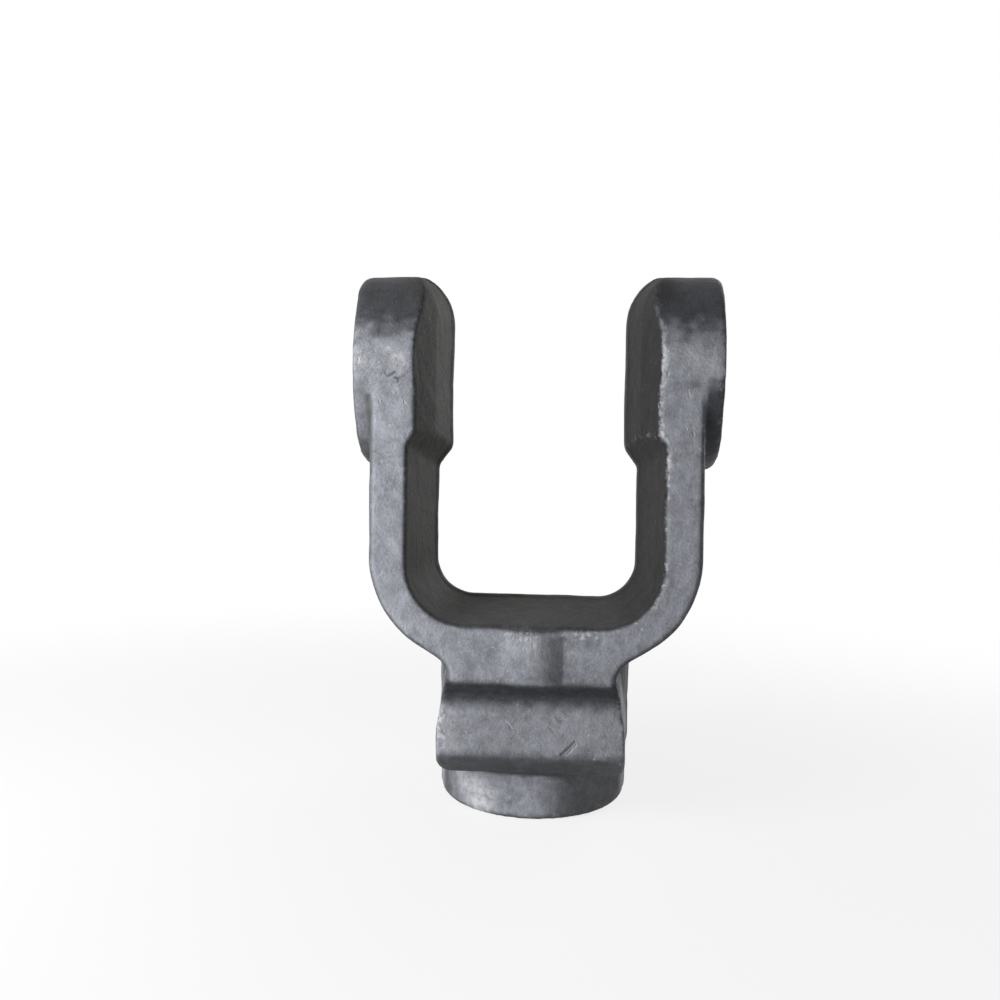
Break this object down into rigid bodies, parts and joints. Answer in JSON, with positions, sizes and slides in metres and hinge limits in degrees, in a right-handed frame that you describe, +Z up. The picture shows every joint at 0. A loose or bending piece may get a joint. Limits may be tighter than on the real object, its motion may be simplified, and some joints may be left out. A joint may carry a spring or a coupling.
{
  "type": "trunnion forging",
  "caption": "Forged steel fork with a round shank, a cross pad on the shank and two ears that take a trunnion pin.",
  "frame": {"origin": "centre of the shank's flat end, on the surface that the forging stands on", "axes": "+Z up the shank towards the ears, +X from ear to ear, +Y through the forging from front to back, square to the die parting plane"},
  "size_m": [0.1162, 0.079, 0.1688],
  "materials": {
    "forged_steel": "as forged and shot blasted, fine dull grain with worn bright edges"
  },
  "bodies": {
    "root": {"trunnion_forging": "forged_steel"}
  },
  "joints": []
}
